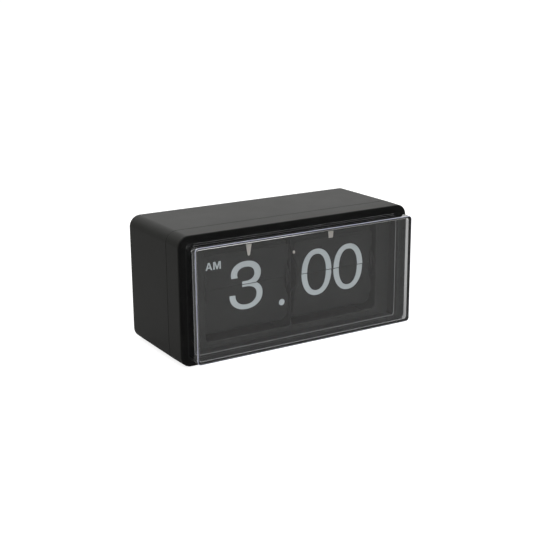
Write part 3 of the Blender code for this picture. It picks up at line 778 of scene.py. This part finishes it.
def rear_screws():
    """Low domed heads with a cross recess."""
    rim, dome = 0.5, 1.1
    for index in range(1, 5):
        node = "rear_screw_%d" % index
        low, high = corners(node)
        x, _, z = centre(low, high)
        r, tall = (high.x - low.x) / 2, high.y - low.y - rim
        loops = [on_y(circle(r), low.y, x, z), on_y(circle(r), low.y + rim, x, z)]
        for k in range(1, 7):
            a = dome * k / 6
            rise = tall * math.sin(a) / math.sin(dome)
            loops.append(on_y(circle(r * math.cos(a)), low.y + rim + rise, x, z))
        head = piece(node + "_head", loft(loops), M["screw"], replaced=(node,))
        carve(head, *cross_recess(x, high.y, z, 2.6))


def feet():
    """Rubber pads with two standing rings."""
    rings = [(0.05, 0.25), (1.2, 0.25), (1.5, 0.0), (2.3, 0.0), (2.6, 0.25), (3.2, 0.25),
             (3.5, 0.0), (4.3, 0.0), (4.7, 0.12), (4.95, 0.5), (5.0, 1.3)]
    for name in FEET:
        x, y, _ = centre(*corners("foot_" + name))
        pad = loft([on_z(circle(r), z, x, y) for r, z in rings])
        piece("foot_%s_pad" % name, pad, M["rubber"], replaced=("foot_" + name,))


def rear_cover():
    """Back plate with the hatch opening, the setting wheel's slot, vents and a blank plaque."""
    y0, y1 = REAR_LOW.y, REAR_HIGH.y
    w, h = REAR_HIGH.x - REAR_LOW.x, REAR_HIGH.z - REAR_LOW.z

    def outline(inset):
        return [(u, v + CASE_MID) for u, v in rounded(w - 2 * inset, h - 2 * inset, 5.2, 12)]
    cover = piece("rear_cover_skin", bevelled_plate(outline, y0, y1, 0.4), M["case"],
                  replaced=("rear_cover",))

    def opening(x0, x1, z0, z1, radius):
        return block((x0, y0 - 1, z0), (x1, y1 + 1, z1), radius)
    door_low, door_high = corners("battery_door")
    wheel_low, wheel_high = corners("thumbwheel")
    gap, slot, reach = 0.3, 1.2, 10
    carve(cover,
          opening(door_low.x - gap, door_high.x + gap, door_low.z - gap, door_high.z + gap, 1.2),
          opening(wheel_low.x - slot, wheel_high.x + slot, AXIS.z - reach, AXIS.z + reach, 0.7),
          *[opening(x, x + 1.6, 62, 76, 0.75) for x in range(-30, 31, 6)])

    half_w, low_z, high_z, border = 40, 46, 57, 0.8
    plaque = piece("blank_plaque", block((-half_w, y1, low_z), (half_w, y1 + 0.3, high_z), 1.5),
                   M["dial"])
    carve(plaque, block((-half_w + border, y1 + 0.12, low_z + border),
                        (half_w - border, y1 + 1, high_z - border), 1.0))


def battery_door():
    """Hatch with five finger grooves."""
    low, high = corners("battery_door")
    mid_x, _, mid_z = centre(low, high)

    def outline(inset):
        return [(u + mid_x, v + mid_z) for u, v in
                rounded(high.x - low.x - 2 * inset, high.z - low.z - 2 * inset, 1.0, 6)]
    door = piece("battery_hatch", bevelled_plate(outline, low.y, high.y, 0.35), M["case"],
                 "battery_door", ("battery_door",))
    first, pitch, half_h, deep = high.x - 14, 2.2, 6, 0.6
    carve(door, *[block((first + pitch * k, high.y - deep, mid_z - half_h),
                        (first + 1 + pitch * k, high.y + 1, mid_z + half_h), 0.45)
                  for k in range(5)])


def thumbwheel():
    """Setting wheel with a ribbed edge and chamfered sides."""
    low, high = corners("thumbwheel")
    place = joint_place("thumbwheel_turn")
    radius, ribs, relief, bore = (high.z - low.z) / 2, 36, 0.25, 1.2
    count = ribs * 8
    angles = [2 * math.pi * k / count for k in range(count)]
    loops = []
    for x, inset in ((low.x, 0.7), (low.x + 0.35, 0.2), (low.x + 0.7, 0.0), (high.x - 0.7, 0.0),
                     (high.x - 0.35, 0.2), (high.x, 0.7)):
        reaches = [radius - inset - relief + relief * math.cos(a * ribs) for a in angles]
        loops.append([(x, place.y + reach * math.cos(a), place.z + reach * math.sin(a))
                      for a, reach in zip(angles, reaches)])
    loops += [[(x, place.y + u, place.z + v) for u, v in circle(bore, count)]
              for x in (high.x, low.x)]
    piece("thumbwheel_rim", loft(loops, closed=True), M["case"], "thumbwheel",
          ("thumbwheel",))


def finish_inner_nodes():
    """Materials of the CAD nodes that stay as they are."""
    # the movement finish is dark plastic darkened further as painted shade between the leaf stacks
    kinds = {"movement": ("left_plate", "centre_plate", "right_plate", "movement_tray", "finger_bar",
                          "battery_bay", "motor", "hour_drum", "minute_drum", "drive_gear",
                          "drum_pinion", "hour_gear"),
             "gear": ("transfer_wheel", "transfer_pinion", "setting_idler", "thumbwheel_gear",
                      "motor_pinion"),
             "steel": ("main_shaft", "upper_tie_rod", "lower_tie_rod", "transfer_axle", "idler_axle",
                       "thumbwheel_axle", "motor_shaft", "contact_plus", "contact_spring"),
             "board": ("control_board",), "cell": ("battery",)}
    for kind, names in kinds.items():
        for name in names:
            node = frame["nodes"][name]
            node.data.materials.clear()
            node.data.materials.append(M[kind])


# ---- stage -------------------------------------------------------------------------------------
def stage():
    """White floor: the lamps see a light grey sheet, the camera sees it lifted to paper white."""
    mat, tree, shader = new_material("pale_floor")
    cloud = texture(tree, "ShaderNodeTexNoise", Scale=3.0, Detail=2.0)
    link(tree, ramp(tree, cloud.outputs["Fac"], grey(0.46), grey(0.48)), shader.inputs["Base Color"])
    shader.inputs["Roughness"].default_value = 0.9
    shader.inputs["Specular IOR Level"].default_value = 0.0
    path = tree.nodes.new("ShaderNodeLightPath")
    glow = span(tree, path.outputs["Is Camera Ray"], 0.0, FLOOR_LIFT)
    shader.inputs["Emission Color"].default_value = (1.0, 1.0, 1.0, 1.0)
    link(tree, glow, shader.inputs["Emission Strength"])
    size = 30000
    square = [(-size, -size), (size, -size), (size, size), (-size, size)]
    floor = solid_object("floor", loft([on_z(square, z) for z in (-20, -0.02)]))
    floor.data.materials.append(mat)


def lamp(name, place, target, size, power):
    """Softbox: place, target and size in metres, power in watts."""
    data = bpy.data.lights.new(name, "AREA")
    data.shape, data.size, data.size_y = "RECTANGLE", size[0], size[1]
    data.energy = power
    obj = bpy.data.objects.new(name, data)
    obj.location = place
    obj.rotation_mode = "QUATERNION"
    obj.rotation_quaternion = (Vector(target) - Vector(place)).to_track_quat("-Z", "Y")
    bpy.context.collection.objects.link(obj)


def lights():
    """Dim even surroundings that the camera sees as white, and three softboxes."""
    world = bpy.data.worlds.new("studio")
    world.use_nodes = True
    background = world.node_tree.nodes["Background"]
    background.inputs["Color"].default_value = (1.0, 1.0, 0.96, 1.0)
    path = world.node_tree.nodes.new("ShaderNodeLightPath")
    lit, seen = 0.34, 1.05
    strength = span(world.node_tree, path.outputs["Is Camera Ray"], lit, seen)
    link(world.node_tree, strength, background.inputs["Strength"])
    bpy.context.scene.world = world
    bpy.context.scene.view_settings.view_transform = "Standard"
    lamp("top_softbox", (0.0, 0.2, 1.3), (0, 0, 0), (1.6, 1.2), 9.0)
    lamp("rear_softbox", (0.75, 2.1, 0.75), (0, 0, 0.1), (2.6, 1.0), 7.5)
    lamp("front_softbox", (-0.3, -1.25, 1.05), (0, 0, 0.05), (0.7, 0.7), 10.0)


def camera():
    """Seen from the front left and a little above; the turn, tilt and roll are in degrees."""
    place = (-0.3818, -0.61825, 0.2508)
    turn = Matrix.Identity(3)
    for degrees, axis in ((-31.17, "Z"), (-15.47, "X"), (0.489, "Y")):
        turn = turn @ Matrix.Rotation(math.radians(degrees), 3, axis)
    right, forward, up = turn.col
    data = bpy.data.cameras.new("view")
    data.sensor_width, data.lens = 36.0, 71.48
    data.clip_start, data.clip_end = 0.05, 50.0
    obj = bpy.data.objects.new("view", data)
    bpy.context.collection.objects.link(obj)
    basis = Matrix((right, up, -forward)).transposed().to_4x4()
    obj.matrix_world = Matrix.Translation(place) @ basis
    bpy.context.scene.camera = obj


camera()
case_shell()
front_frame()
clear_cover()
dial_panel()
leaves("hour")
leaves("minute")
figures()
finger("hour_finger", 5.4, 1.9, 0.94)
finger("minute_finger", 4.8, 3.6, 0.5)
stud()
rear_cover()
battery_door()
rear_screws()
feet()
thumbwheel()
finish_inner_nodes()
flatten_normals()
stage()
lights()
